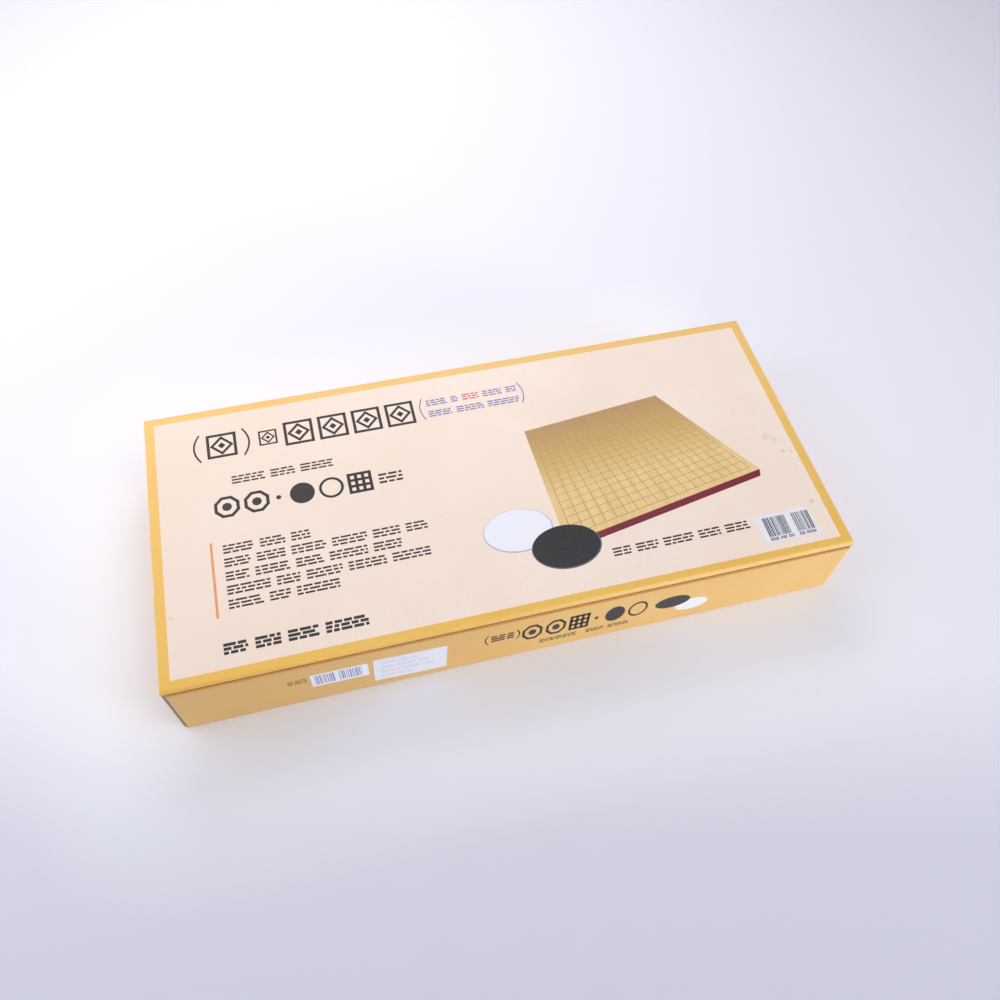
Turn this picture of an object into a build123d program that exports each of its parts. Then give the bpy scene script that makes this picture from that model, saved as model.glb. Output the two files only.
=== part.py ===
from build123d import *
import os

# Folding go and janggi board, packed folded in a roll-end tuck-top carton of thin corrugated board.
# Millimetres, +Z up. Origin: centre of the carton's footprint, on the surface that it stands on.
# +X runs along the carton's length, -Y is the side where the lid opens.

# Board
board_length = 455.0
half_depth = 210.0
core_thickness = 25.2
face_thickness = 1.0
band_thickness = 1.0

# Carton board and the clearances inside the carton
sheet = 1.6
end_clearance = 4.2
lid_slack = 2.9
lid_overhang = 0.5
crease_gap = 0.1
side_wall_setback = 1.2
panel_clearance = 0.2

# Lid fold and tuck flap
fold_depth = 3.0
fold_bulge = 0.5
fold_lip_radius = 0.4
front_gap = 1.4
tuck_depth = 17.5
tuck_clearance = 0.3
tuck_margin = 0.2417
tuck_unfold_ratio = 0.5
tuck_corner_radius = 10.0
board_to_tuck = 0.4
crease_radius = 1.4
base_fold_radius = 1.1

# Corner flaps and lock tabs
corner_flap_length = 80.0
corner_flap_radius = 8.0
tab_width = 40.0
tab_pitch = 120.0
slot_clearance = 0.15

# Hinges of the board
leaf_length = 40.0
leaf_height = 18.0
leaf_thickness = 1.0
leaf_fit = 0.1
knuckle_count = 5
knuckle_gap = 0.2
barrel_radius = 2.0
barrel_clearance = 0.3
pin_radius = 1.0
pin_running_clearance = 0.05
pin_head_radius = 1.5
pin_head_thickness = 0.6
hinge_inset = 62.0
rear_clearance = 0.4
screw_pitch = 22.0
screw_offset = 10.5
screw_head_radius = 1.9
screw_shank_radius = 0.9
screw_length = 12.0
screw_clearance = 0.05

# Paper label on the front wall
label_width = 50.0
label_height = 34.0
label_thickness = 0.15
label_center_x = -81.3
label_center_z = 25.6
label_tilt = 2.0

# Sizes of the board and the carton that follow from the values above
half_thickness = core_thickness + 2 * face_thickness
side_wall_thickness = 3 * sheet
tuck_setback = tuck_margin + tuck_depth**2 * (0.5 + tuck_unfold_ratio) / half_depth
tray_length = board_length + 2 * (end_clearance + side_wall_thickness)
lid_length = tray_length + 2 * lid_overhang
front_stack = sheet + tuck_clearance + sheet + tuck_setback + board_to_tuck
carton_width = front_stack + half_depth + barrel_radius + rear_clearance + sheet
carton_height = sheet + 2 * half_thickness + lid_slack + sheet

# Heights
base_top = sheet
fold_z = base_top + half_thickness
lid_underside = carton_height - sheet
wall_top = lid_underside - crease_gap
fold_bottom = carton_height - fold_depth
front_wall_top = fold_bottom - front_gap
tuck_top = fold_bottom - crease_gap

# Places from front to rear
front_wall_outer = -carton_width / 2
front_wall_inner = front_wall_outer + sheet
tuck_outer = front_wall_inner + tuck_clearance
tuck_inner = tuck_outer + sheet
lid_front = tuck_outer - fold_bulge
board_front = tuck_inner + tuck_setback + board_to_tuck
fold_y = board_front + half_depth
rear_wall_outer = carton_width / 2
rear_wall_inner = rear_wall_outer - sheet

# Places from the middle to the ends
tray_end = tray_length / 2
flap_outer_x = tray_end - sheet
inner_wall_outer_x = flap_outer_x - sheet
inner_wall_inner_x = inner_wall_outer_x - sheet
board_end = board_length / 2


def block(x_span, y_span, z_span):
    """Box between two X, two Y and two Z values."""
    size = [abs(b - a) for a, b in (x_span, y_span, z_span)]
    middle = [(a + b) / 2 for a, b in (x_span, y_span, z_span)]
    return Pos(*middle) * Box(*size)


def rod_x(radius, x_span, y, z):
    """Round bar along X."""
    start, end = x_span
    return Pos((start + end) / 2, y, z) * Rot(0, 90, 0) * Cylinder(radius, end - start)


def rounded(shape, axis, radius, **place):
    """Fillet the edges along one axis that lie at the given X, Y or Z."""
    found = shape.edges().filter_by(axis)
    for name, value in place.items():
        found = [edge for edge in found if abs(getattr(edge.center(), name) - value) < 0.01]
    return fillet(found, radius)


def mirrored_x(shape):
    return mirror(shape, about=Plane.YZ)


# Carton tray

def base_panel():
    """Bottom of the carton, with a slot for each lock tab."""
    panel = block((-flap_outer_x, flap_outer_x), (front_wall_inner, rear_wall_inner), (0, base_top))
    for end in (-1, 1):
        x_span = (end * (inner_wall_inner_x - slot_clearance), end * (inner_wall_outer_x + slot_clearance))
        for y in (-tab_pitch / 2, tab_pitch / 2):
            reach = tab_width / 2 + slot_clearance
            panel -= block(x_span, (y - reach, y + reach), (-sheet, 2 * sheet))
    return panel


def front_wall():
    """Single wall. Its fold to the base and its folds to the corner flaps are rounded."""
    wall = block((-flap_outer_x, flap_outer_x), (front_wall_outer, front_wall_inner), (0, front_wall_top))
    wall = rounded(wall, Axis.Z, crease_radius, Y=front_wall_outer)
    return rounded(wall, Axis.X, base_fold_radius, Y=front_wall_outer, Z=0)


def rear_wall():
    """Wall that the lid is creased to."""
    wall = block((-flap_outer_x, flap_outer_x), (rear_wall_inner, rear_wall_outer), (0, wall_top))
    wall = rounded(wall, Axis.Z, crease_radius, Y=rear_wall_outer)
    return rounded(wall, Axis.X, base_fold_radius, Y=rear_wall_outer, Z=0)


def fold_relief():
    """Where the left side wall is cut lower, by the rolled strip's thickness, for the lid's front fold."""
    return block((-tray_end, -inner_wall_inner_x), (front_wall_outer, tuck_inner + panel_clearance),
                 (wall_top - sheet, carton_height))


def left_wall_outer():
    """Outer ply of the side wall. Its two raw ends stand a little behind the front and rear walls."""
    y_span = (front_wall_outer + side_wall_setback, rear_wall_outer - side_wall_setback)
    wall = block((-tray_end, -flap_outer_x), y_span, (0, wall_top))
    wall = rounded(wall, Axis.Y, crease_radius, X=-tray_end, Z=wall_top)
    return rounded(wall, Axis.Y, crease_radius, X=-tray_end, Z=0) - fold_relief()


def left_wall_inner():
    """Strip rolled over the wall's top, and the inner ply with its two lock tabs."""
    y_span = (front_wall_inner + panel_clearance, rear_wall_inner - panel_clearance)
    wall = block((-flap_outer_x, -inner_wall_inner_x), y_span, (wall_top - sheet, wall_top))
    wall += block((-inner_wall_outer_x, -inner_wall_inner_x), y_span, (base_top, wall_top))
    wall = rounded(wall, Axis.Y, crease_radius, X=-inner_wall_inner_x, Z=wall_top) - fold_relief()
    for y in (-tab_pitch / 2, tab_pitch / 2):
        reach = tab_width / 2
        tab = block((-inner_wall_outer_x, -inner_wall_inner_x), (y - reach, y + reach),
                    (panel_clearance, base_top + sheet))
        tab = rounded(tab, Axis.X, sheet / 2, Z=panel_clearance)
        wall += tab
    return wall


def front_left_flap():
    """Flap folded off the front wall, held between the side wall's two plies."""
    z_span = (base_top + panel_clearance, wall_top - sheet - panel_clearance)
    flap = block((-flap_outer_x, -inner_wall_outer_x),
                 (front_wall_inner, front_wall_inner + corner_flap_length), z_span)
    return rounded(flap, Axis.X, corner_flap_radius, Y=front_wall_inner + corner_flap_length)


def rear_left_flap():
    """Flap folded off the rear wall."""
    z_span = (base_top + panel_clearance, wall_top - sheet - panel_clearance)
    flap = block((-flap_outer_x, -inner_wall_outer_x),
                 (rear_wall_inner - corner_flap_length, rear_wall_inner), z_span)
    return rounded(flap, Axis.X, corner_flap_radius, Y=rear_wall_inner - corner_flap_length)


def paper_label():
    """Label stuck on the front wall, a little askew."""
    middle = Pos(label_center_x, front_wall_outer - label_thickness / 2, label_center_z)
    return middle * Rot(0, label_tilt, 0) * Box(label_width, label_thickness, label_height)


# Lid

def lid_panel():
    """Top of the carton. Its front fold turns down behind the front wall, whose raw top edge stays bare."""
    x_span = (-lid_length / 2, lid_length / 2)
    panel = block(x_span, (lid_front, rear_wall_outer), (lid_underside, carton_height))
    panel += block(x_span, (lid_front, tuck_inner), (fold_bottom, carton_height))
    panel = rounded(panel, Axis.X, fold_depth - fold_lip_radius - crease_gap, Y=lid_front, Z=carton_height)
    panel = rounded(panel, Axis.X, fold_lip_radius, Y=lid_front, Z=fold_bottom)
    return rounded(panel, Axis.X, crease_radius, Y=rear_wall_outer, Z=carton_height)


def tuck_flap():
    """Flap that goes down behind the front wall, leaning away from it so that it slides out freely."""
    tip = tuck_top - tuck_depth
    section = Polyline((tuck_outer, tuck_top), (tuck_inner, tuck_top), (tuck_inner + tuck_setback, tip),
                       (tuck_outer + tuck_setback, tip), close=True)
    half_length = inner_wall_inner_x - 2 * tuck_clearance
    start = Plane(origin=(-half_length, 0, 0), x_dir=(0, 1, 0), z_dir=(1, 0, 0))
    flap = extrude(start * make_face(section), 2 * half_length)
    outline = block((-half_length, half_length), (lid_front, board_front), (tip, tuck_top))
    outline = rounded(outline, Axis.Y, tuck_corner_radius, Z=tip)
    return flap & outline


# Board

def barrel_notch(center_x):
    """Space for the hinge barrel and the pin's heads, in the fold edge of both halves."""
    reach = leaf_length / 2 + pin_head_thickness + barrel_clearance
    return rod_x(barrel_radius + barrel_clearance, (center_x - reach, center_x + reach), fold_y, fold_z)


def leaf_pocket(center_x):
    """Recess that lets a lower leaf in flush with the fold edge."""
    reach = leaf_length / 2 + leaf_fit
    return block((center_x - reach, center_x + reach), (fold_y - leaf_thickness, fold_y + barrel_radius),
                 (fold_z - leaf_height - leaf_fit, fold_z))


def screw_places(center_x):
    """Middle of each of the two screw heads on a lower leaf."""
    for end in (-1, 1):
        yield center_x + end * screw_pitch / 2, fold_z - screw_offset


def screw(x, z, clearance=0.0):
    """Countersunk screw pointing into the fold edge, or, with a clearance, the hole that it passes."""
    head = Cone(screw_shank_radius + clearance, screw_head_radius + clearance, leaf_thickness)
    head = Pos(x, fold_y - leaf_thickness / 2, z) * Rot(-90, 0, 0) * head
    shank = Cylinder(screw_shank_radius + clearance, screw_length + 2 * clearance)
    return head + Pos(x, fold_y - screw_length / 2, z) * Rot(-90, 0, 0) * shank


hinge_centers = (-board_end + hinge_inset, board_end - hinge_inset)


def fold_edge_cuts():
    """All that is cut from the lower half's fold edge for both hinges."""
    for center_x in hinge_centers:
        yield barrel_notch(center_x)
        yield leaf_pocket(center_x)
        for x, z in screw_places(center_x):
            yield screw(x, z, screw_clearance)


def lower_core():
    """Body of the lower half."""
    core = block((-board_end + band_thickness, board_end - band_thickness),
                 (board_front + band_thickness, fold_y), (base_top + face_thickness, fold_z - face_thickness))
    for cut in fold_edge_cuts():
        core -= cut
    return core


def lower_go_face():
    """Playing face that is outside when the board is folded."""
    return block((-board_end + band_thickness, board_end - band_thickness),
                 (board_front + band_thickness, fold_y), (base_top, base_top + face_thickness))


def lower_janggi_face():
    """Playing face that is inside when the board is folded."""
    face = block((-board_end + band_thickness, board_end - band_thickness),
                 (board_front + band_thickness, fold_y), (fold_z - face_thickness, fold_z))
    for center_x in hinge_centers:
        face -= barrel_notch(center_x)
        face -= leaf_pocket(center_x)
    return face


def lower_edge_band():
    """Three strips glued on the ends and the front edge of the lower half."""
    z_span = (base_top, fold_z)
    front = block((-board_end + band_thickness, board_end - band_thickness),
                  (board_front, board_front + band_thickness), z_span)
    left = block((-board_end, -board_end + band_thickness), (board_front, fold_y), z_span)
    return Compound(children=[front, left, mirrored_x(left)])


def to_upper(shape):
    """The upper half is the lower one turned over its inner face."""
    return mirror(shape, about=Plane.XY.offset(fold_z))


# Hinges

def hinge_leaf(center_x, first_knuckle):
    """Lower leaf with every second knuckle, starting at the first one given."""
    low = center_x - leaf_length / 2
    pitch = leaf_length / knuckle_count
    plate_top = fold_z - barrel_radius - barrel_clearance
    leaf = block((low, low + leaf_length), (fold_y - leaf_thickness, fold_y), (fold_z - leaf_height, plate_top))
    for index in range(first_knuckle, knuckle_count, 2):
        span = (low + index * pitch + knuckle_gap / 2, low + (index + 1) * pitch - knuckle_gap / 2)
        leaf += block(span, (fold_y - leaf_thickness, fold_y), (plate_top, fold_z))
        leaf += rod_x(barrel_radius, span, fold_y, fold_z)
    bore_span = (low - pin_head_thickness, low + leaf_length + pin_head_thickness)
    leaf -= rod_x(pin_radius + pin_running_clearance, bore_span, fold_y, fold_z)
    for x, z in screw_places(center_x):
        leaf -= screw(x, z, screw_clearance)
    return leaf


def hinge_pin(center_x):
    """Pin through all knuckles, with a flat head at each end."""
    reach = leaf_length / 2
    pin = rod_x(pin_radius, (center_x - reach - pin_head_thickness, center_x + reach + pin_head_thickness),
                fold_y, fold_z)
    for end in (-1, 1):
        span = sorted((center_x + end * reach, center_x + end * (reach + pin_head_thickness)))
        pin += rod_x(pin_head_radius, span, fold_y, fold_z)
    return pin


def lower_hinge_screws():
    """Countersunk screws, two in each lower leaf."""
    return Compound(children=[screw(x, z) for center_x in hinge_centers for x, z in screw_places(center_x)])


left_x, right_x = hinge_centers
nodes = {
    "base_panel": base_panel(),
    "front_wall": front_wall(),
    "rear_wall": rear_wall(),
    "left_wall_outer": left_wall_outer(),
    "right_wall_outer": mirrored_x(left_wall_outer()),
    "left_wall_inner": left_wall_inner(),
    "right_wall_inner": mirrored_x(left_wall_inner()),
    "front_left_flap": front_left_flap(),
    "front_right_flap": mirrored_x(front_left_flap()),
    "rear_left_flap": rear_left_flap(),
    "rear_right_flap": mirrored_x(rear_left_flap()),
    "paper_label": paper_label(),
    "lid_panel": lid_panel(),
    "tuck_flap": tuck_flap(),
    "lower_core": lower_core(),
    "lower_go_face": lower_go_face(),
    "lower_janggi_face": lower_janggi_face(),
    "lower_edge_band": lower_edge_band(),
    "upper_core": to_upper(lower_core()),
    "upper_go_face": to_upper(lower_go_face()),
    "upper_janggi_face": to_upper(lower_janggi_face()),
    "upper_edge_band": to_upper(lower_edge_band()),
    "left_hinge_lower_leaf": hinge_leaf(left_x, 0),
    "left_hinge_upper_leaf": to_upper(hinge_leaf(left_x, 1)),
    "left_hinge_pin": hinge_pin(left_x),
    "right_hinge_lower_leaf": hinge_leaf(right_x, 0),
    "right_hinge_upper_leaf": to_upper(hinge_leaf(right_x, 1)),
    "right_hinge_pin": hinge_pin(right_x),
    "lower_hinge_screws": lower_hinge_screws(),
    "upper_hinge_screws": to_upper(lower_hinge_screws()),
}

os.makedirs("parts", exist_ok=True)
for name, shape in nodes.items():
    export_step(shape, f"parts/{name}.step")
print("carton", round(lid_length, 2), round(carton_width, 2), round(carton_height, 2))
print("lid hinge", round(rear_wall_outer, 3), round(lid_underside, 3))
print("tuck hinge", round(tuck_outer, 3), round(tuck_top, 3))
print("board fold", round(fold_y, 3), round(fold_z, 3))
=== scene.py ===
"""A folding go and janggi board, packed in its printed corrugated carton. Sizes are in metres."""
import math
import random

import bmesh
import bpy
from mathutils import Matrix, Vector


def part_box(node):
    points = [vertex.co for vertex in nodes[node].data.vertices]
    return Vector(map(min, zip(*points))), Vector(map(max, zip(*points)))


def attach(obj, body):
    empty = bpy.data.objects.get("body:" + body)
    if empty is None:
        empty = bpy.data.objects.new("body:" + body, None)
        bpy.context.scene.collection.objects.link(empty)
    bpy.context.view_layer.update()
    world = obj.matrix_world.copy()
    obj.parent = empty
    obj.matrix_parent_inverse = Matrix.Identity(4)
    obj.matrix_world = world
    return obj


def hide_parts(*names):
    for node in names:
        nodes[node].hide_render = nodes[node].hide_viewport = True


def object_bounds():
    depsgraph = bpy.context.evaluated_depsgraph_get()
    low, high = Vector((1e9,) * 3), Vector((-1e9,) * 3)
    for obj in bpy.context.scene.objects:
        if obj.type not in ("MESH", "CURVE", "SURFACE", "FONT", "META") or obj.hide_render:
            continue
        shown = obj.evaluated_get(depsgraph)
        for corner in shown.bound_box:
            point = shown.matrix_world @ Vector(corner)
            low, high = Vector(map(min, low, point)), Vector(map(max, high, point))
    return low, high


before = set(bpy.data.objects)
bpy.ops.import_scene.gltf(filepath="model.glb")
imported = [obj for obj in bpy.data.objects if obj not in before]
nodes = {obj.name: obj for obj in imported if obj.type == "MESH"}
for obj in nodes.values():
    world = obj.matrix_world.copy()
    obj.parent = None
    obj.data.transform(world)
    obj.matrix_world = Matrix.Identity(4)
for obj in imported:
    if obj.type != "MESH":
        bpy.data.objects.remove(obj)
cad_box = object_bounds()
mm = 0.001


# Camera, light and floor
# A product table in a bright room: a pale floor, soft lamps over its front, left and back, and one low at
# the right. The camera stands where the picture was taken, above the front of the carton.

camera_data = bpy.data.cameras.new("camera")
camera_data.lens = 32.545
camera_data.sensor_width = 36.0
camera_data.clip_start = 0.01
camera = bpy.data.objects.new("camera", camera_data)
camera.location = (-0.10099, -0.34969, 0.60137)
camera.rotation_euler = [math.radians(a) for a in (32.7072, -2.0061, -14.3175)]
bpy.context.scene.collection.objects.link(camera)
bpy.context.scene.camera = camera
bpy.context.scene.view_settings.view_transform = "Standard"


def soft_light(name, place, target, size, power, spread=180, colour=(1, 1, 1), mirrored=True):
    """A square soft box that faces the target. Its light spreads over the angle given, in degrees. One that
    isn't mirrored leaves no glare on varnish."""
    data = bpy.data.lights.new(name, "AREA")
    data.shape = "RECTANGLE"
    data.size, data.size_y = size
    data.energy = power
    data.spread = math.radians(spread)
    data.color = colour
    light = bpy.data.objects.new(name, data)
    light.visible_glossy = mirrored
    light.location = place
    light.rotation_euler = (Vector(target) - Vector(place)).to_track_quat("-Z", "Y").to_euler()
    bpy.context.scene.collection.objects.link(light)


soft_light("key_light", (0.5, -0.5, 1.5), (0, 0, 0), (1.2, 1.2), 7.3)
soft_light("left_light", (-1.4, 0.1, 1.1), (0, 0, 0), (1.0, 1.0), 2.4)
soft_light("back_lamp", (0.0, 0.8, 0.8), (0.0, 0.6, 0), (0.8, 0.6), 4.8)
soft_light("left_lamp", (-0.6, 0.22, 0.6), (-0.55, 0.27, 0), (0.5, 0.5), 1.6)
soft_light("low_light", (1.5, -1.2, 0.22), (0.2, -0.11, 0.03), (0.8, 0.25), 1.8, spread=45,
           colour=(0.9, 0.95, 1.0), mirrored=False)

world = bpy.data.worlds.new("room")
world.use_nodes = True
room = world.node_tree.nodes["Background"].inputs
room["Color"].default_value = (0.99, 0.99, 1.18, 1)
room["Strength"].default_value = 0.3
bpy.context.scene.world = world


def add(tree, kind, inputs=None, **settings):
    """Adds a shader node. An input is given a value, or another node's output to read."""
    made = tree.nodes.new("ShaderNode" + kind)
    for key, value in settings.items():
        setattr(made, key, value)
    for key, value in (inputs or {}).items():
        if isinstance(value, bpy.types.NodeSocket):
            tree.links.new(value, made.inputs[key])
        else:
            made.inputs[key].default_value = value
    return made


def plain(name, roughness, specular=0.5):
    """A new material, its node tree and its shader."""
    material = bpy.data.materials.new(name)
    material.use_nodes = True
    tree = material.node_tree
    shader = tree.nodes["Principled BSDF"]
    shader.inputs["Roughness"].default_value = roughness
    shader.inputs["Specular IOR Level"].default_value = specular
    return material, tree, shader


def srgb(red, green, blue):
    """A colour given from 0 to 255, as the shader's linear colour."""
    def linear(value):
        value /= 255
        return value / 12.92 if value <= 0.04045 else ((value + 0.055) / 1.055) ** 2.4
    return (linear(red), linear(green), linear(blue), 1.0)


def mixed_colour(tree, factor, first, second):
    """One colour or the other, by a factor. Each may be a colour or a node's output."""
    return add(tree, "Mix", {"Factor": factor, "A": first, "B": second}, data_type="RGBA").outputs["Result"]


def ramped(tree, value, start, stop, low=0.0, high=1.0):
    """Takes a value from low at the start to high at the stop, and holds it beyond both."""
    ends = {"From Min": start, "From Max": stop, "To Min": low, "To Max": high}
    return add(tree, "MapRange", {"Value": value, **ends}).outputs["Result"]


def vectors_worked(tree, operation, *values):
    """The result of a sum on vectors. It is a number for a length, a distance or a dot product."""
    made = add(tree, "VectorMath", dict(enumerate(values)), operation=operation)
    return made.outputs["Value" if operation in ("LENGTH", "DISTANCE", "DOT_PRODUCT") else "Vector"]


def parts_of(tree, vector):
    """A vector's three numbers."""
    return add(tree, "SeparateXYZ", {"Vector": vector}).outputs


# Painted light on the floor: its paper is painted palest close to the carton, against the carton's shadow,
# and painted cooler there in front and at the right, against warm bounce and lamp spill. Further out it is
# painted dimmest in front, as painted shade.
floor_size = 8.0
floor_level = -0.2 * mm
paling = 120 * mm
dim_direction, dim_start, dim_stop = (0.25, 1, 0), -120 * mm, -240 * mm
right_start, right_stop = 200 * mm, 260 * mm
front_start, front_stop = -85 * mm, -125 * mm
floor_paper_painted_light, tree, shader = plain("floor_paper_painted_light", 0.9, 0.2)
place = add(tree, "TexCoord").outputs["Object"]
parts = parts_of(tree, place)
beyond = vectors_worked(tree, "SUBTRACT", vectors_worked(tree, "ABSOLUTE", place), cad_box[1])
away = vectors_worked(tree, "LENGTH", vectors_worked(tree, "MAXIMUM", beyond, (0, 0, 0)))
slanted = vectors_worked(tree, "DOT_PRODUCT", place, dim_direction)
dim_part = ramped(tree, slanted, dim_start, dim_stop)
far_painted_dimming = mixed_colour(tree, dim_part, srgb(243, 243, 250), srgb(224, 224, 235))
right_part = ramped(tree, parts["X"], right_start, right_stop)
near_painted_light = mixed_colour(tree, right_part, srgb(255, 253, 255), srgb(240, 240, 250))
front_part = ramped(tree, parts["Y"], front_start, front_stop)
near_painted_light = mixed_colour(tree, front_part, near_painted_light, srgb(246, 249, 255))
# The floor's colour: painted light close to the carton, painted shade further out.
paper = mixed_colour(tree, ramped(tree, away, 0, paling, 1, 0), far_painted_dimming, near_painted_light)
tree.links.new(paper, shader.inputs["Base Color"])
bm = bmesh.new()
bmesh.ops.create_grid(bm, x_segments=1, y_segments=1, size=floor_size / 2,
                      matrix=Matrix.Translation((0, 0, floor_level)))
floor_mesh = bpy.data.meshes.new("floor")
bm.to_mesh(floor_mesh)
bm.free()
floor_mesh.materials.append(floor_paper_painted_light)
floor = bpy.data.objects.new("floor", floor_mesh)
bpy.context.scene.collection.objects.link(floor)


# Corrugated board
# The carton is one die-cut sheet of thin corrugated board, 1.6 mm thick. Its outer liner is printed and
# varnished, its inner liner and cut edges are bare recycled paper, grey, with the flutes between them. The
# hollows between the flutes are painted shade.

sheet = 1.6 * mm
rub_width = 1.3 * mm
flute_pitch = 2.4 * mm
flute_swing = 0.5
stain_depth = 2.5 * mm
tooth_depth = 0.02 * mm
ink_rough, liner_rough = 0.46, 0.85
wall_yellow = srgb(236, 188, 109), srgb(241, 198, 124)
rubbed_ink = srgb(252, 226, 178)
ink_stain = srgb(240, 184, 112)
liner_grey = srgb(188, 178, 162)
liner_dark = srgb(158, 147, 133)
hollow_painted_shade = srgb(140, 127, 110)


def worked(tree, operation, *values):
    """The result of a sum on numbers."""
    return add(tree, "Math", dict(enumerate(values)), operation=operation).outputs["Value"]


def noise(tree, place, scale, detail, roughness=0.5):
    """A cloudy pattern between 0 and 1."""
    settings = {"Vector": place, "Scale": scale, "Detail": detail, "Roughness": roughness}
    return add(tree, "TexNoise", settings).outputs["Fac"]


def facing(tree, normal, direction):
    """1 where the surface faces the direction, 0 elsewhere. It reads the piece's own normals."""
    return ramped(tree, vectors_worked(tree, "DOT_PRODUCT", normal, direction), 0.03, 0.08)


def fibres(tree, place, dark, pale, scale):
    """Recycled paper: two tones mixed by a grain from coarse to fine."""
    return mixed_colour(tree, noise(tree, place, scale, 6.0, 0.7), dark, pale)


def printed_ink(tree, place, colour, paler):
    """Ink on board: broad unevenness of the print and a faint tooth of the paper."""
    both = worked(tree, "MULTIPLY", noise(tree, place, 14.0, 3.0), noise(tree, place, 900.0, 2.0))
    return mixed_colour(tree, ramped(tree, both, 0.15, 0.40), colour, paler)


def paper_bump(tree, place, shader):
    """The fine tooth of paper."""
    tooth = noise(tree, place, 1400.0, 3.0)
    bump = add(tree, "Bump", {"Height": tooth, "Strength": 0.35, "Distance": tooth_depth})
    tree.links.new(bump.outputs["Normal"], shader.inputs["Normal"])


def worn_folds(tree, place, colour, folds):
    """Ink rubbed pale in patches along folds, each an axis, 0 to 2, and its coordinate."""
    parts = parts_of(tree, place)
    patches = noise(tree, place, 70.0, 5.0, 0.65)
    for axis, value in folds:
        away = worked(tree, "ABSOLUTE", worked(tree, "SUBTRACT", parts[axis], value))
        rubbed = worked(tree, "MULTIPLY", ramped(tree, away, 0, rub_width, 1, 0), patches)
        colour = mixed_colour(tree, ramped(tree, rubbed, 0.28, 0.5, 0, 0.5), colour, rubbed_ink)
    return colour


def cut_edge(tree, place, normal, bare, through, start, along):
    """The sheet's cut edges: two liners, and the flutes between them, waved along an axis if one is given.
    The hollows between them are painted shade. The sheet's thickness runs through another axis, from its
    start."""
    parts = parts_of(tree, place)
    depth = ramped(tree, parts[through], start, start + sheet, -1, 1)
    middle = depth
    if along is not None:
        phase = worked(tree, "MULTIPLY", parts[along], 2 * math.pi / flute_pitch)
        swing = worked(tree, "MULTIPLY", worked(tree, "SINE", phase), flute_swing)
        middle = worked(tree, "SUBTRACT", depth, swing)
    flute = ramped(tree, worked(tree, "ABSOLUTE", middle), 0.16, 0.3, 1, 0)
    liner = ramped(tree, worked(tree, "ABSOLUTE", depth), 0.68, 0.8)
    # Painted shade: the hollows between flutes and liners take a dark colour.
    edge = mixed_colour(tree, worked(tree, "MAXIMUM", flute, liner), hollow_painted_shade, bare)
    across = worked(tree, "ABSOLUTE", parts_of(tree, normal)[through])
    return mixed_colour(tree, ramped(tree, across, 0.4, 0.5), edge, bare)


def painted_gradient(tree, place, printed, axis, start, stop, colour, most):
    """Paints light or shade onto a print as a gradient to a colour along one axis, from a start to a stop.
    """
    amount = ramped(tree, parts_of(tree, place)[axis], start, stop, 0, most)
    return mixed_colour(tree, amount, printed, colour)


def board_sheet(name, printed_sides, folds=(), edge=None, stained=None, painted_fade=None, tones=wall_yellow):
    """Board printed on the sides that face the given directions and bare on the others. Its bare top edge,
    at the height given as stained, has taken up ink. Light or shade may be painted on its print along the
    sheet."""
    material, tree, shader = plain(name, 0.5, 0.35)
    where = add(tree, "TexCoord")
    place, normal = where.outputs["Object"], where.outputs["Normal"]
    bare = fibres(tree, place, liner_dark, liner_grey, 260.0)
    if edge:
        bare = cut_edge(tree, place, normal, bare, *edge)
    if stained:
        taken_up = ramped(tree, parts_of(tree, place)["Z"], stained - stain_depth, stained, 0, 0.85)
        bare = mixed_colour(tree, taken_up, bare, ink_stain)
    print_here = printed_ink(tree, place, *tones)
    if painted_fade:
        print_here = painted_gradient(tree, place, print_here, *painted_fade)
    print_here = worn_folds(tree, place, print_here, folds)
    sides = [facing(tree, normal, direction) for direction in printed_sides]
    mask = sides[0]
    for side in sides[1:]:
        mask = worked(tree, "MAXIMUM", mask, side)
    tree.links.new(mixed_colour(tree, mask, bare, print_here), shader.inputs["Base Color"])
    tree.links.new(ramped(tree, mask, 0, 1, liner_rough, ink_rough), shader.inputs["Roughness"])
    paper_bump(tree, place, shader)
    return material


def dress(name, material):
    """Gives a CAD node its finish."""
    nodes[name].material_slots[0].material = material


front, back, left, right = (0, -1, 0), (0, 1, 0), (-1, 0, 0), (1, 0, 0)
up, down = (0, 0, 1), (0, 0, -1)
wall_low, wall_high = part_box("front_wall")
wall_top = wall_high.z
wall_folds = [(0, wall_low.x), (0, wall_high.x), (2, 0.0)]
rear_folds = wall_folds + [(2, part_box("rear_wall")[1].z)]
side_low, side_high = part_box("left_wall_outer")
side_folds = [(1, side_low.y), (1, side_high.y), (2, 0.0), (2, side_high.z)]
left_end, right_end = side_low.x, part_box("right_wall_outer")[0].x
# Painted shade: the front wall's print is painted darker towards its left end.
wall_painted_shade = ("X", 20 * mm, -120 * mm, srgb(219, 175, 110), 0.6)
dress("front_wall", board_sheet("front_wall_board", [front, left, right], wall_folds, (1, wall_low.y, 0),
                                wall_top, wall_painted_shade))
dress("rear_wall", board_sheet("rear_wall_board", [back, left, right], rear_folds))
dress("base_panel", board_sheet("base_board", [down]))
dress("left_wall_outer", board_sheet("left_wall_board", [left], side_folds, (0, left_end, 2)))
dress("right_wall_outer", board_sheet("right_wall_board", [right, front], side_folds, (0, right_end, 2),
                                      wall_top))
dress("left_wall_inner", board_sheet("left_inner_board", [up, right], stained=wall_top))
dress("right_wall_inner", board_sheet("right_inner_board", [up, left], stained=wall_top))
corner_board = board_sheet("corner_flap_board", [up])
for name in ("front_left_flap", "front_right_flap", "rear_left_flap", "rear_right_flap"):
    dress(name, corner_board)
tuck_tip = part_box("tuck_flap")[1].y - sheet
dress("tuck_flap", board_sheet("tuck_flap_board", [front], edge=(1, tuck_tip, 0)))


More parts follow.
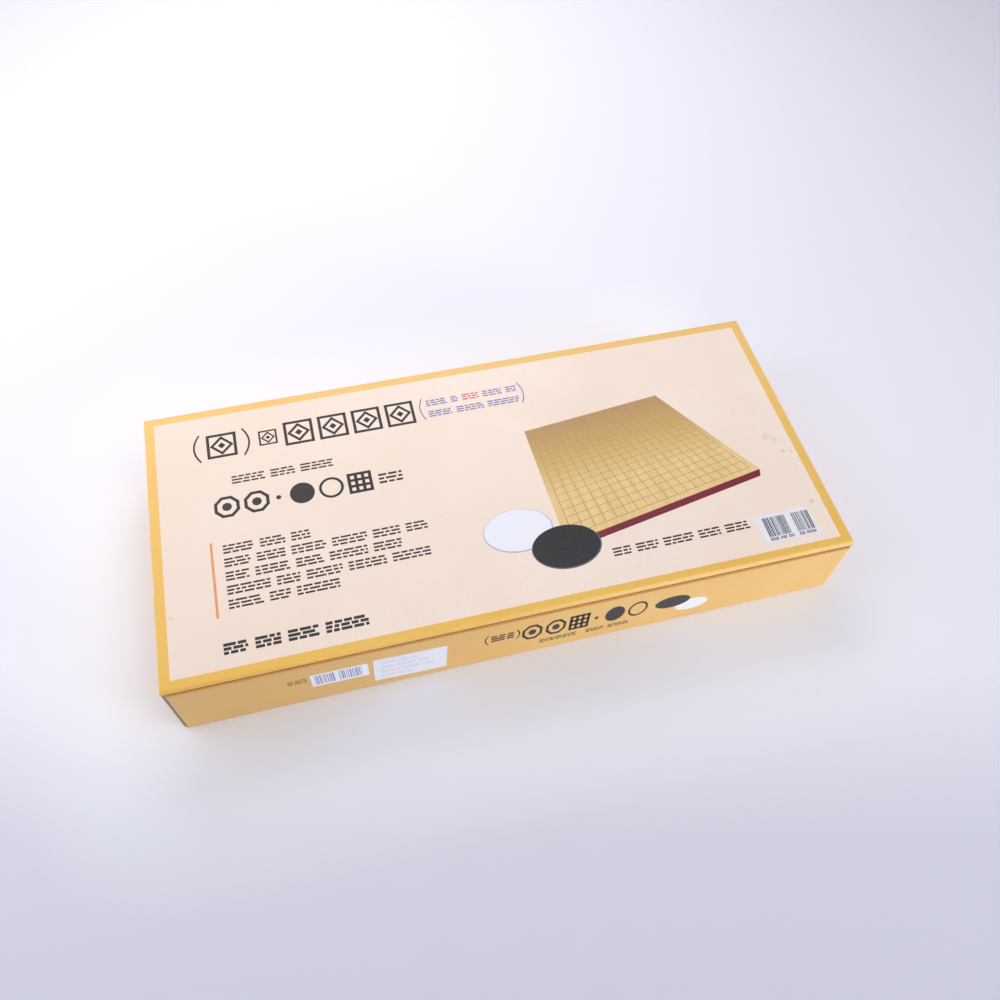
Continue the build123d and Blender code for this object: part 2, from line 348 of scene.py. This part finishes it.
# Lid
# The lid is part of the same sheet, creased to the rear wall. Its front fold bulges a little over the
# front wall. The print is a cream field inside a yellow border, which runs on round the fold. The cream is
# painted darker to the left as painted shade, the border paler to the rear as painted sheen, and the border
# on the fold carries a painted highlight.

border_side = 7.0 * mm
border_rear = 7.2 * mm
border_front = 7.3 * mm
fold_radius = 2.45 * mm
fold_highlight_reach = 1.8 * mm
lip_radius = 0.35 * mm
crease_radius = 1.4 * mm
crease_gap = 0.03 * mm
ink_film = 0.05 * mm
lid_sag = 0.45 * mm
sag_step = 20 * mm
crisp_angle = 35
long_run, close_by = 100 * mm, 0.01 * mm
lid_low, lid_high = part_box("lid_panel")
lid_top = lid_high.z - ink_film
lid_under = lid_high.z - sheet
lip_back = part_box("tuck_flap")[0].y + sheet
crease_y = lid_high.y - crease_gap
field_x = lid_high.x - border_side
field_front, field_rear = lid_low.y + border_front, lid_high.y - border_rear


def sagged(x, y):
    """How far the lid's middle has sunk between its supported edges."""
    across = (x - lid_low.x) / (lid_high.x - lid_low.x)
    along = (y - lid_low.y) / (lid_high.y - lid_low.y)
    if not (0 < across < 1 and 0 < along < 1):
        return 0.0
    dip = math.sin(math.pi * across) * math.sin(math.pi * along)
    wave = 0.75 + 0.25 * math.sin(5.0 * across + 1.0) * math.cos(3.0 * along)
    return lid_sag * dip * wave


def let_down(bm):
    """Moves a mesh on or in the lid down with the lid's sag."""
    for vert in bm.verts:
        vert.co.z -= sagged(vert.co.x, vert.co.y)


def finished(bm, name, materials, body):
    """Makes a piece of the mesh, with smooth faces and crisp corners."""
    mesh = bpy.data.meshes.new(name)
    bm.to_mesh(mesh)
    bm.free()
    for material in materials:
        mesh.materials.append(material)
    mesh.shade_smooth()
    mesh.set_sharp_from_angle(angle=math.radians(crisp_angle))
    piece = bpy.data.objects.new(name, mesh)
    bpy.context.scene.collection.objects.link(piece)
    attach(piece, body)
    return piece


def long_edges(bm, y, z):
    """Edges along the carton's length at this y and z."""
    found = []
    for edge in bm.edges:
        a, b = (vert.co for vert in edge.verts)
        at_place = all(abs(v.y - y) < close_by and abs(v.z - z) < close_by for v in (a, b))
        if at_place and abs(a.x - b.x) > long_run:
            found.append(edge)
    return found


def cut(bm, point, normal):
    """Cuts the mesh along a plane and keeps both sides."""
    geometry = bm.verts[:] + bm.edges[:] + bm.faces[:]
    bmesh.ops.bisect_plane(bm, geom=geometry, plane_co=point, plane_no=normal)


def divide(bm):
    """Cuts whatever spans the lid into squares, fine enough to take its sag."""
    for axis, normal in enumerate((right, back)):
        low, high = (pick(vert.co[axis] for vert in bm.verts) for pick in (min, max))
        for index in range(math.ceil(low / sag_step), math.floor(high / sag_step) + 1):
            cut(bm, [index * sag_step * part for part in normal], normal)


# Each scuff: its place across and along the lid and its reach, in millimetres, and its strength.
scuffs = ((213, -8, 4.6, 0.24), (218, -12, 3.2, 0.2), (220, -23, 2.2, 0.4), (226, -24.5, 1.7, 0.34),
          (222.5, -69, 2.2, 0.5), (-227, -58, 2.2, 0.4))
scuff_grey = srgb(150, 128, 112)
cream_sheet, tree, shader = plain("lid_cream_ink", 0.5, 0.35)
place = add(tree, "TexCoord").outputs["Object"]
cream = printed_ink(tree, place, srgb(251, 230, 211), srgb(255, 237, 221))
smears = noise(tree, place, 420.0, 3.0)
for x, y, reach, strength in scuffs:
    away = vectors_worked(tree, "DISTANCE", place, (x * mm, y * mm, lid_top))
    near = ramped(tree, away, 0, reach * mm, 2 * strength, 0)
    cream = mixed_colour(tree, worked(tree, "MULTIPLY", near, smears), cream, scuff_grey)
# Painted shade: the cream is painted darker towards the lid's left end.
cream = painted_gradient(tree, place, cream, "X", 0, lid_low.x, srgb(240, 219, 199), 0.55)
tree.links.new(cream, shader.inputs["Base Color"])
paper_bump(tree, place, shader)

lid_folds = [(0, lid_low.x), (0, lid_high.x), (1, lid_high.y)]
# Painted sheen: the border's ink is painted paler towards the rear.
border_painted_sheen = ("Y", field_front, lid_high.y, srgb(252, 208, 138), 0.55)
border_sheet = board_sheet("lid_border_ink", [up, front, back], lid_folds, (2, lid_under, None),
                           painted_fade=border_painted_sheen, tones=(srgb(241, 190, 86), srgb(246, 200, 100)))
# Painted highlight: the border's ink on the front fold is a paler copy, painted palest towards the right.
fold_painted_highlight = ("X", -80 * mm, 100 * mm, srgb(255, 212, 138), 0.9)
fold_highlight_ink = board_sheet("lid_fold_highlight_ink", [up, front], lid_folds, painted_fade=fold_painted_highlight,
                       tones=(srgb(241, 190, 93), srgb(246, 200, 108)))
cream_part, fold_highlight_part = 1, 2

bm = bmesh.new()
section = [(lid_low.y, lid_low.z), (lip_back, lid_low.z), (lip_back, lid_under), (crease_y, lid_under),
           (crease_y, lid_top), (lid_low.y, lid_top)]
end_face = bm.faces.new([bm.verts.new((lid_low.x, y, z)) for y, z in section])
grown = bmesh.ops.extrude_face_region(bm, geom=[end_face])["geom"]
bmesh.ops.translate(bm, verts=[g for g in grown if isinstance(g, bmesh.types.BMVert)],
                    vec=(lid_high.x - lid_low.x, 0, 0))
bmesh.ops.recalc_face_normals(bm, faces=bm.faces)
for y, z, radius, steps in ((lid_low.y, lid_top, fold_radius, 8), (lid_low.y, lid_low.z, lip_radius, 3),
                            (crease_y, lid_top, crease_radius, 6)):
    bmesh.ops.bevel(bm, geom=long_edges(bm, y, z), offset=radius, segments=steps, profile=0.5,
                    affect="EDGES", material=-1)
for x in (-field_x, field_x):
    cut(bm, (x, 0, 0), right)
for y in (field_front, field_rear, lid_low.y + fold_highlight_reach):
    cut(bm, (0, y, 0), back)
divide(bm)
# Faces on the front fold, and those behind its lip, take the fold's painted highlight.
for face in bm.faces:
    middle, normal = face.calc_center_median(), face.normal
    on_fold = middle.y < lid_low.y + fold_highlight_reach and abs(normal.x) < 0.5 and normal.z > -0.9
    behind_lip = normal.y > 0.9 and middle.y < 0
    if normal.z > 0.99 and abs(middle.x) < field_x and field_front < middle.y < field_rear:
        face.material_index = cream_part
    elif on_fold or behind_lip:
        face.material_index = fold_highlight_part
let_down(bm)
lid = finished(bm, "lid_sheet", [border_sheet, cream_sheet, fold_highlight_ink], "lid")
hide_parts("lid_panel")


# Print on the lid
# Such cartons are covered in print. Here each small line is a row of plain broken dashes, the large line a
# row of window lattice, and the bold line a row of playing pieces. Each ink is a film laid on the board.

ink_depth = 0.03 * mm
ink_bite = 0.01 * mm
overprint = ink_depth / 3
bracket_steps = 8
bar_unit, bar_widths, bar_gaps = 0.36 * mm, (1, 1, 2, 3), (1, 1, 2)
# Words and dashes, in shares of the line's height.
word_lengths, shortest_word, word_gap = (1.8, 4.2), 1.6, 0.6
dash_lengths, shortest_dash, dash_gap, dash_pitch = (0.35, 1.1), 0.2, 0.16, 0.38
# Lattice squares and playing pieces, in shares of their size.
frame_stroke, lozenge_radius, lozenge_stroke = 0.1, 0.28, 0.09
piece_stroke, piece_stud, stone_stroke, grid_pitch, grid_stroke = 0.13, 0.2, 0.11, 0.29, 0.13
piece_pitch, dot_radius, dot_back, dot_pitch = 1.18, 0.1, 0.31, 0.64
lid_face = Matrix.Translation((0, 0, lid_top))
over_lid = lid_face @ Matrix.Translation((0, 0, overprint))
marks = random.Random(19)


def press(bm, face, u_span, v_span, lift=0.0):
    """One flat mark of ink, given by its extent across and up the printed face."""
    (u0, u1), (v0, v1) = u_span, v_span
    size = Matrix.Diagonal((u1 - u0, v1 - v0, ink_depth + ink_bite, 1))
    middle = Matrix.Translation(((u0 + u1) / 2, (v0 + v1) / 2, lift + (ink_depth - ink_bite) / 2))
    return bmesh.ops.create_cube(bm, size=1, matrix=face @ middle @ size)["verts"]


def drawn_line(bm, face, start, end, width):
    """A straight stroke between two points."""
    run = Vector(end) - Vector(start)
    turned = Matrix.Translation((*start, 0)) @ Matrix.Rotation(math.atan2(run.y, run.x), 4, "Z")
    press(bm, face @ turned, (-width / 2, run.length + width / 2), (-width / 2, width / 2))


def bracket(bm, face, u, v_span, bulge, width):
    """A round bracket in short strokes. It bulges to the left where the bulge is below zero."""
    low, high = v_span
    shares = [step / bracket_steps for step in range(bracket_steps + 1)]
    points = [(u + bulge * 4 * share * (1 - share), low + (high - low) * share) for share in shares]
    for start, end in zip(points, points[1:]):
        drawn_line(bm, face, start, end, width)


def oval(bm, face, u, v, radius_u, radius_v, lift=0.0, sides=48):
    """A round or oval mark of ink."""
    size = Matrix.Diagonal((radius_u, radius_v, ink_depth + ink_bite, 1))
    middle = Matrix.Translation((u, v, lift + (ink_depth - ink_bite) / 2))
    bmesh.ops.create_cone(bm, cap_ends=True, segments=sides, radius1=1, radius2=1, depth=1,
                          matrix=face @ middle @ size)


def outline(bm, face, u, v, radius, stroke, sides):
    """A ring of straight strokes: a square, an octagon, or a circle when it has many sides."""
    half_side = radius * math.tan(math.pi / sides)
    for index in range(sides):
        turned = Matrix.Translation((u, v, 0)) @ Matrix.Rotation(2 * math.pi * index / sides, 4, "Z")
        press(bm, face @ turned, (-half_side, half_side), (radius - stroke, radius))


def text_line(bm, face, left, right, bottom, height, weight=0.2):
    """A line of words: for each word three rows of dashes, broken at random."""
    u = left
    while right - u > height:
        word = min(right - u, height * marks.uniform(*word_lengths))
        if right - u - word < shortest_word * height:
            word = right - u
        for row in range(3):
            low = bottom + row * dash_pitch * height
            start = u
            while start < u + word - shortest_dash * height:
                stop = min(start + height * marks.uniform(*dash_lengths), u + word)
                press(bm, face, (start, stop), (low, low + weight * height))
                start = stop + dash_gap * height
        u += word + word_gap * height


def lattice_unit(bm, face, left, bottom, size):
    """One square of a window lattice: a frame, a lozenge inside it, and a stud in the middle."""
    u, v = left + size / 2, bottom + size / 2
    outline(bm, face, u, v, size / 2, size * frame_stroke, 4)
    eighth = face @ Matrix.Translation((u, v, 0)) @ Matrix.Rotation(math.radians(45), 4, "Z")
    for radius in (lozenge_radius, lozenge_stroke):
        outline(bm, eighth, 0, 0, size * radius, size * lozenge_stroke, 4)


def piece_row(bm, face, left, middle, size, row):
    """Marks side by side: octagonal pieces, a small board, a dark and a light stone, and dots between."""
    half = size / 2
    u = left + half
    for mark in row:
        if mark == "dot":
            oval(bm, face, u - size * dot_back, middle, size * dot_radius, size * dot_radius, sides=24)
            u += size * dot_pitch
            continue
        if mark == "piece":
            outline(bm, face, u, middle, half, size * piece_stroke, 8)
            oval(bm, face, u, middle, size * piece_stud, size * piece_stud, sides=8)
        elif mark == "dark":
            oval(bm, face, u, middle, half, half)
        elif mark == "light":
            outline(bm, face, u, middle, half, size * stone_stroke, 36)
        else:
            for step in range(4):
                low = -half + step * grid_pitch * size
                high = low + grid_stroke * size
                press(bm, face, (u - half, u + half), (middle + low, middle + high))
                press(bm, face, (u + low, u + high), (middle - half, middle + half))
        u += size * piece_pitch


def stripes(bm, face, left, right, bottom, top):
    """Upright bars of uneven width, as on a till label, coding nothing."""
    u = left
    while u < right - bar_widths[-1] * bar_unit:
        wide = bar_unit * marks.choice(bar_widths)
        press(bm, face, (u, u + wide), (bottom, top))
        u += wide + bar_unit * marks.choice(bar_gaps)


def ink(name, colour, paler, roughness=0.48):
    """An ink that covers a little unevenly."""
    material, tree, shader = plain(name, roughness, 0.35)
    place = add(tree, "TexCoord").outputs["Object"]
    tree.links.new(printed_ink(tree, place, colour, paler), shader.inputs["Base Color"])
    return material


def on_lid(bm, name, material):
    """Ends a film of ink on the lid. It is divided as the lid is, and sinks with it."""
    divide(bm)
    let_down(bm)
    return finished(bm, name, [material], "lid")


black_ink = ink("black_ink", srgb(50, 43, 45), srgb(66, 58, 60))
title_size, title_pitch, title_left, title_bottom = 21.5 * mm, 25.4 * mm, -205 * mm, 63.5 * mm
title_first, title_small, title_rest = title_left + 11 * mm, title_left + 48.5 * mm, title_left + 67 * mm
title_top = title_bottom + title_size
small_size = 0.62 * title_size
bold_size, bold_left, bold_middle = 17.5 * mm, -193 * mm, 20 * mm
bold_row = ("piece", "piece", "dot", "dark", "light", "board")
paragraph_left, paragraph_top, line_pitch, line_height = -190 * mm, -10.5 * mm, 10.6 * mm, 7.0 * mm
bm = bmesh.new()
lattice_unit(bm, lid_face, title_first, title_bottom, title_size)
lattice_unit(bm, lid_face, title_small, title_bottom + (title_size - small_size) / 2, small_size)
for index in range(4):
    lattice_unit(bm, lid_face, title_rest + index * title_pitch, title_bottom, title_size)
for u, bulge in ((title_first - 5 * mm, -4 * mm), (title_first + title_size + 5 * mm, 4 * mm)):
    bracket(bm, lid_face, u, (title_bottom - 1 * mm, title_top + 1 * mm), bulge, 1.3 * mm)
text_line(bm, lid_face, -179 * mm, -107 * mm, 38.5 * mm, 6.8 * mm)
piece_row(bm, lid_face, bold_left, bold_middle, bold_size, bold_row)
text_line(bm, lid_face, -77 * mm, -60 * mm, 15.5 * mm, 8.6 * mm)
for index, line_right in enumerate((-131, -51, -71, -53, -117)):
    line_bottom = paragraph_top - line_height - index * line_pitch
    text_line(bm, lid_face, paragraph_left, line_right * mm, line_bottom, line_height)
text_line(bm, lid_face, -196 * mm, -103 * mm, -91.5 * mm, 7.6 * mm, 0.28)
text_line(bm, lid_face, 69 * mm, 170 * mm, -80 * mm, 6.6 * mm)
on_lid(bm, "lid_black_marks", black_ink)

note_left, note_right, note_high, note_low, note_height = -30 * mm, 40.5 * mm, 77 * mm, 66.5 * mm, 5.6 * mm
bm = bmesh.new()
text_line(bm, lid_face, note_left, -5 * mm, note_high, note_height)
text_line(bm, lid_face, 14 * mm, note_right, note_high, note_height)
text_line(bm, lid_face, note_left, note_right, note_low, note_height)
for edge, bulge in ((note_left - 3 * mm, -2.5 * mm), (note_right + 2 * mm, 2.5 * mm)):
    bracket(bm, lid_face, edge, (65 * mm, 84.5 * mm), bulge, 0.8 * mm)
on_lid(bm, "lid_blue_marks", ink("blue_ink", srgb(112, 110, 176), srgb(134, 132, 190)))

bm = bmesh.new()
text_line(bm, lid_face, -2 * mm, 11 * mm, note_high, note_height)
on_lid(bm, "lid_red_marks", ink("red_ink", srgb(214, 70, 72), srgb(226, 92, 90)))

bm = bmesh.new()
press(bm, lid_face, (-198.5 * mm, -196.8 * mm), (-65 * mm, -7 * mm))
on_lid(bm, "lid_orange_rule", ink("orange_ink", srgb(226, 150, 96), srgb(236, 168, 116)))

patch_white = ink("patch_white", srgb(240, 240, 246), srgb(246, 246, 250))
bm = bmesh.new()
press(bm, lid_face, (176 * mm, 217 * mm), (-94.5 * mm, -72.5 * mm))
on_lid(bm, "lid_white_patch", patch_white)
bm = bmesh.new()
for group_left, group_right in ((180.5 * mm, 198.5 * mm), (202.5 * mm, 215.5 * mm)):
    stripes(bm, over_lid, group_left, group_right, -90.5 * mm, -75 * mm)
    text_line(bm, over_lid, group_left, group_right, -93.6 * mm, 2.2 * mm, 0.3)
on_lid(bm, "lid_stripes", ink("grey_ink", srgb(92, 90, 100), srgb(112, 110, 120)))


# Board figure on the lid
# A plain drawing of a gridded board with a deep red edge, and two loose stones in front of it. The board is
# drawn in perspective, darker at its far side.

figure_corners = (36.2, 37.5), (144.3, 48.7), (196.6, -34.3), (39.8, -62.8)
figure_lines, figure_margin, line_share = 19, 0.035, 0.0035
far_slope, far_side, near_side = 0.104, -34 * mm, 40 * mm
gold_tones = (0.0, srgb(188, 147, 104)), (0.4, srgb(215, 176, 108)), (0.85, srgb(244, 211, 148))
streak_gold = srgb(206, 170, 104)
band_height, band_lean = 5.8 * mm, 1.8 * mm
stone_u, stone_v, rim = 24.8 * mm, 17.3 * mm, 0.7 * mm
light_place, dark_place = (9.6 * mm, -44.9 * mm), (39.1 * mm, -64.9 * mm)


def seen_square(corners):
    """The map that takes a unit square to its corners seen at an angle: far left, far right, near right
    and near left."""
    (x0, y0), (x1, y1), (x2, y2), (x3, y3) = corners
    dx1, dx2, dx3 = x1 - x2, x3 - x2, x0 - x1 + x2 - x3
    dy1, dy2, dy3 = y1 - y2, y3 - y2, y0 - y1 + y2 - y3
    spread = dx1 * dy2 - dx2 * dy1
    g, h = (dx3 * dy2 - dx2 * dy3) / spread, (dx1 * dy3 - dx3 * dy1) / spread
    return Matrix(((x1 - x0 + g * x1, x3 - x0 + h * x3, x0),
                   (y1 - y0 + g * y1, y3 - y0 + h * y3, y0),
                   (g, h, 1)))


figure_map = seen_square([(x * mm, y * mm) for x, y in figure_corners])


def drawn(bm, across, down, lift):
    """A mark in the drawing, given in shares of the board's width and depth."""
    for vert in press(bm, lid_face, across, down, lift):
        place = figure_map @ Vector((vert.co.x, vert.co.y, 1.0))
        vert.co.x, vert.co.y = place.x / place.z, place.y / place.z


def stretched(tree, place, scale):
    """The place scaled by its own amount along each axis, which draws a pattern out."""
    return add(tree, "Mapping", {"Vector": place, "Scale": scale}).outputs["Vector"]


gold_ink, tree, shader = plain("gold_ink", 0.45, 0.35)
place = add(tree, "TexCoord").outputs["Object"]
parts = parts_of(tree, place)
depth = worked(tree, "SUBTRACT", worked(tree, "MULTIPLY", parts["X"], far_slope), parts["Y"])
ramp = add(tree, "ValToRGB", {"Fac": ramped(tree, depth, far_side, near_side)})
ramp.color_ramp.elements.new(0.5)
for stop, (position, tone) in zip(ramp.color_ramp.elements, gold_tones):
    stop.position, stop.color = position, tone
streaks = noise(tree, stretched(tree, place, (260.0, 14.0, 1.0)), 1.0, 4.0)
amount = ramped(tree, streaks, 0.35, 0.7, 0, 0.3)
gold = mixed_colour(tree, amount, ramp.outputs["Color"], streak_gold)
tree.links.new(gold, shader.inputs["Base Color"])

bm = bmesh.new()
drawn(bm, (0, 1), (0, 1), 0.0)
bmesh.ops.recalc_face_normals(bm, faces=bm.faces)
on_lid(bm, "figure_board", gold_ink)

bm = bmesh.new()
whole = (figure_margin, 1 - figure_margin)
for index in range(figure_lines):
    middle = figure_margin + (1 - 2 * figure_margin) * index / (figure_lines - 1)
    span = (middle - line_share / 2, middle + line_share / 2)
    drawn(bm, span, whole, overprint)
    drawn(bm, whole, span, overprint)
bmesh.ops.recalc_face_normals(bm, faces=bm.faces)
on_lid(bm, "figure_lines", ink("brown_ink", srgb(186, 150, 92), srgb(198, 162, 102)))

bm = bmesh.new()
near_right, near_left = (Vector(corner) * mm for corner in figure_corners[2:])
for vert in press(bm, lid_face, (0, 1), (-1, 0)):
    place = near_left.lerp(near_right, vert.co.x)
    vert.co.x, vert.co.y = place.x + band_lean * vert.co.y, place.y + band_height * vert.co.y
on_lid(bm, "figure_edge", ink("maroon_ink", srgb(122, 34, 50), srgb(138, 46, 62)))

# Each stone's face is set back a little, so that its rim is widest in front.
for name, (u, v), lift, rim_ink, stone_ink in (
        ("light_stone", light_place, 0, ink("lavender_ink", srgb(176, 172, 200), srgb(190, 186, 212)),
         ink("stone_white", srgb(244, 244, 252), srgb(250, 250, 255))),
        ("dark_stone", dark_place, 2 * overprint, ink("stone_side", srgb(96, 98, 108), srgb(112, 114, 124)),
         ink("stone_black", srgb(44, 43, 45), srgb(56, 55, 57)))):
    bm = bmesh.new()
    oval(bm, lid_face, u, v, stone_u, stone_v, lift, sides=64)
    on_lid(bm, "figure_" + name + "_rim", rim_ink)
    bm = bmesh.new()
    oval(bm, lid_face, u - 0.2 * rim, v + 0.6 * rim, stone_u - rim, stone_v - 0.8 * rim, lift + overprint,
         sides=64)
    on_lid(bm, "figure_" + name, stone_ink)


# Print and label on the front wall
# The same plain marks, smaller, with the bold row drawn tall. A paper label from the shop is stuck on, a
# little askew, and faint lines show on it.

tall_share = 1.55
label_tilt = -2
wall_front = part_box("front_wall")[0].y
wall_face = Matrix(((1, 0, 0, 0), (0, 0, -1, wall_front), (0, 1, 0, 0), (0, 0, 0, 1)))
tall_face = wall_face @ Matrix.Diagonal((1, tall_share, 1, 1))
over_wall = wall_face @ Matrix.Translation((0, 0, overprint))
label_low, label_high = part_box("paper_label")
label_x, label_z = (label_low.x + label_high.x) / 2, (label_low.z + label_high.z) / 2
label_face = wall_face @ Matrix.Translation((label_x, label_z, wall_front - label_low.y))
label_face = label_face @ Matrix.Rotation(math.radians(label_tilt), 4, "Z")


def on_wall(bm, name, material):
    """Ends a film of ink on the front wall."""
    return finished(bm, name, [material], "carton")


wall_row = ("piece", "piece", "board", "dot", "dark", "light")
bm = bmesh.new()
piece_row(bm, tall_face, -3.5 * mm, 33 * mm / tall_share, 14.3 * mm, wall_row)
text_line(bm, wall_face, -25.5 * mm, -9.5 * mm, 31 * mm, 9 * mm, 0.24)
for edge, bulge in ((-27.5 * mm, -2 * mm), (-7.5 * mm, 2 * mm)):
    bracket(bm, wall_face, edge, (28 * mm, 42 * mm), bulge, 0.9 * mm)
text_line(bm, wall_face, 10 * mm, 37.5 * mm, 12 * mm, 5.2 * mm)
text_line(bm, wall_face, 44 * mm, 76 * mm, 12 * mm, 5.2 * mm)
oval(bm, over_wall, 106.5 * mm, 31.5 * mm, 13.0 * mm, 8.8 * mm)
on_wall(bm, "wall_black_marks", black_ink)
bm = bmesh.new()
press(bm, wall_face, (-147.5 * mm, -109.5 * mm), (22.5 * mm, 41.5 * mm))
oval(bm, wall_face, 122.6 * mm, 21.5 * mm, 12.4 * mm, 8.6 * mm)
on_wall(bm, "wall_white_patch", patch_white)
bm = bmesh.new()
stripes(bm, over_wall, -145 * mm, -131 * mm, 25 * mm, 39.5 * mm)
stripes(bm, over_wall, -129 * mm, -113 * mm, 25 * mm, 39.5 * mm)
on_wall(bm, "wall_stripes", ink("slate_ink", srgb(136, 141, 184), srgb(156, 160, 196)))
bm = bmesh.new()
text_line(bm, wall_face, -162.5 * mm, -150 * mm, 32.5 * mm, 6.2 * mm, 0.28)
on_wall(bm, "wall_small_mark", ink("umber_ink", srgb(172, 116, 66), srgb(186, 132, 80)))

label_paper, tree, shader = plain("label_paper", 0.6, 0.3)
place = add(tree, "TexCoord").outputs["Object"]
paper_tone = fibres(tree, place, srgb(232, 231, 238), srgb(243, 242, 247), 320.0)
tree.links.new(paper_tone, shader.inputs["Base Color"])
paper_bump(tree, place, shader)
dress("paper_label", label_paper)
bm = bmesh.new()
for bottom, stop in ((9, 4), (2, 12), (-5, 16), (-12, 2)):
    text_line(bm, label_face, -20 * mm, stop * mm, bottom * mm, 3.2 * mm, 0.12)
on_wall(bm, "label_marks", ink("faint_ink", srgb(188, 190, 208), srgb(204, 206, 220)))


# Playing faces
# Each half is faced on both sides with a thin wood veneer. Folded, the go faces are outside and the janggi
# faces inside. The lines are printed: nineteen by nineteen for go, nine by ten with two palaces for janggi.

fold_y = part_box("lower_go_face")[1].y
go_across, go_deep, go_line, star_radius = 23.7 * mm, 22 * mm, 0.8 * mm, 2.1 * mm
go_side_lines, star_step = 9, 6
pore_depth = 0.03 * mm
file_pitch, rank_pitch, first_rank, janggi_line = 50 * mm, 44 * mm, 22 * mm, 1.0 * mm
side_files, half_ranks = 4, 5


def veneer(name, dark, pale, ring_scale, roughness):
    """Straight-grained wood. The grain runs along the board's length."""
    material, tree, shader = plain(name, roughness, 0.4)
    place = add(tree, "TexCoord").outputs["Object"]
    rings = noise(tree, stretched(tree, place, (6.0, ring_scale, ring_scale)), 1.0, 5.0, 0.6)
    pores = noise(tree, stretched(tree, place, (60.0, ring_scale * 9, ring_scale * 9)), 1.0, 2.0)
    both = worked(tree, "MULTIPLY", rings, pores)
    tone = mixed_colour(tree, ramped(tree, both, 0.14, 0.38), dark, pale)
    tree.links.new(tone, shader.inputs["Base Color"])
    bump = add(tree, "Bump", {"Height": both, "Strength": 0.25, "Distance": pore_depth})
    tree.links.new(bump.outputs["Normal"], shader.inputs["Normal"])
    return material


go_veneer = veneer("go_veneer", srgb(196, 150, 78), srgb(226, 188, 116), 120.0, 0.38)
janggi_veneer = veneer("janggi_veneer", srgb(190, 138, 80), srgb(220, 176, 116), 90.0, 0.4)
line_black = ink("line_black", srgb(38, 32, 28), srgb(52, 45, 40), 0.5)
for half in ("lower", "upper"):
    dress(half + "_go_face", go_veneer)
    dress(half + "_janggi_face", janggi_veneer)


def playing_face(node, side):
    """The plane of a face: across the board, and away from the fold edge."""
    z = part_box(node)[1].z if side > 0 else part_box(node)[0].z
    return Matrix(((-side, 0, 0, 0), (0, -1, 0, fold_y), (0, 0, side, z), (0, 0, 0, 1)))


for half, body, go_side in (("lower", "carton", -1), ("upper", "upper_half", 1)):
    face = playing_face(half + "_go_face", go_side)
    go_edge, go_end = go_side_lines * go_across, go_side_lines * go_deep
    bm = bmesh.new()
    for index in range(-go_side_lines, go_side_lines + 1):
        drawn_line(bm, face, (index * go_across, go_line / 2), (index * go_across, go_end), go_line)
    for index in range(go_side_lines + 1):
        v = max(index * go_deep, go_line / 2)
        drawn_line(bm, face, (-go_edge, v), (go_edge, v), go_line)
    for index in (-star_step, 0, star_step):
        oval(bm, face, index * go_across, star_step * go_deep, star_radius, star_radius, sides=24)
    finished(bm, half + "_go_lines", [line_black], body)
    face = playing_face(half + "_janggi_face", -go_side)
    last_rank = first_rank + (half_ranks - 1) * rank_pitch
    last_file = side_files * file_pitch
    bm = bmesh.new()
    for index in range(-side_files, side_files + 1):
        u = index * file_pitch
        drawn_line(bm, face, (u, janggi_line / 2), (u, last_rank), janggi_line)
    for index in range(half_ranks):
        v = first_rank + index * rank_pitch
        drawn_line(bm, face, (-last_file, v), (last_file, v), janggi_line)
    palace = last_rank - 2 * rank_pitch
    drawn_line(bm, face, (-file_pitch, palace), (file_pitch, last_rank), janggi_line)
    drawn_line(bm, face, (file_pitch, palace), (-file_pitch, last_rank), janggi_line)
    finished(bm, half + "_janggi_lines", [line_black], body)


# Cores and edge bands
# Each half has a light wood core. Its ends and outer edge are banded with strips in deep red lacquer, which
# has a thin clear coat.

core_wood = veneer("core_wood", srgb(206, 172, 120), srgb(228, 200, 152), 60.0, 0.7)
edge_lacquer, tree, shader = plain("edge_lacquer", 0.28, 0.5)
place = add(tree, "TexCoord").outputs["Object"]
shader.inputs["Coat Weight"].default_value = 0.3
lacquer_grain = fibres(tree, place, srgb(108, 24, 38), srgb(132, 36, 50), 40.0)
tree.links.new(lacquer_grain, shader.inputs["Base Color"])
for half in ("lower", "upper"):
    dress(half + "_core", core_wood)
    dress(half + "_edge_band", edge_lacquer)


# Hinges
# Two butt hinges of stamped brass sheet are let into the fold edge. Their knuckles turn on a steel pin, and
# countersunk screws hold the leaves.


def metal(name, colour, roughness, brushed):
    """Bare metal, brushed along its length."""
    material, tree, shader = plain(name, roughness)
    shader.inputs["Metallic"].default_value = 1.0
    place = add(tree, "TexCoord").outputs["Object"]
    scratches = noise(tree, stretched(tree, place, (40.0, brushed, brushed)), 1.0, 3.0)
    darker = tuple(channel * 0.72 for channel in colour[:3]) + (1.0,)
    tree.links.new(mixed_colour(tree, scratches, darker, colour), shader.inputs["Base Color"])
    rough = ramped(tree, scratches, 0, 1, roughness - 0.08, roughness + 0.12)
    tree.links.new(rough, shader.inputs["Roughness"])
    return material


hinge_brass = metal("hinge_brass", srgb(214, 178, 104), 0.34, 1500.0)
screw_steel = metal("screw_steel", srgb(196, 194, 190), 0.3, 900.0)
for side in ("left", "right"):
    for leaf in ("_hinge_lower_leaf", "_hinge_upper_leaf"):
        dress(side + leaf, hinge_brass)
    dress(side + "_hinge_pin", screw_steel)
dress("lower_hinge_screws", screw_steel)
dress("upper_hinge_screws", screw_steel)
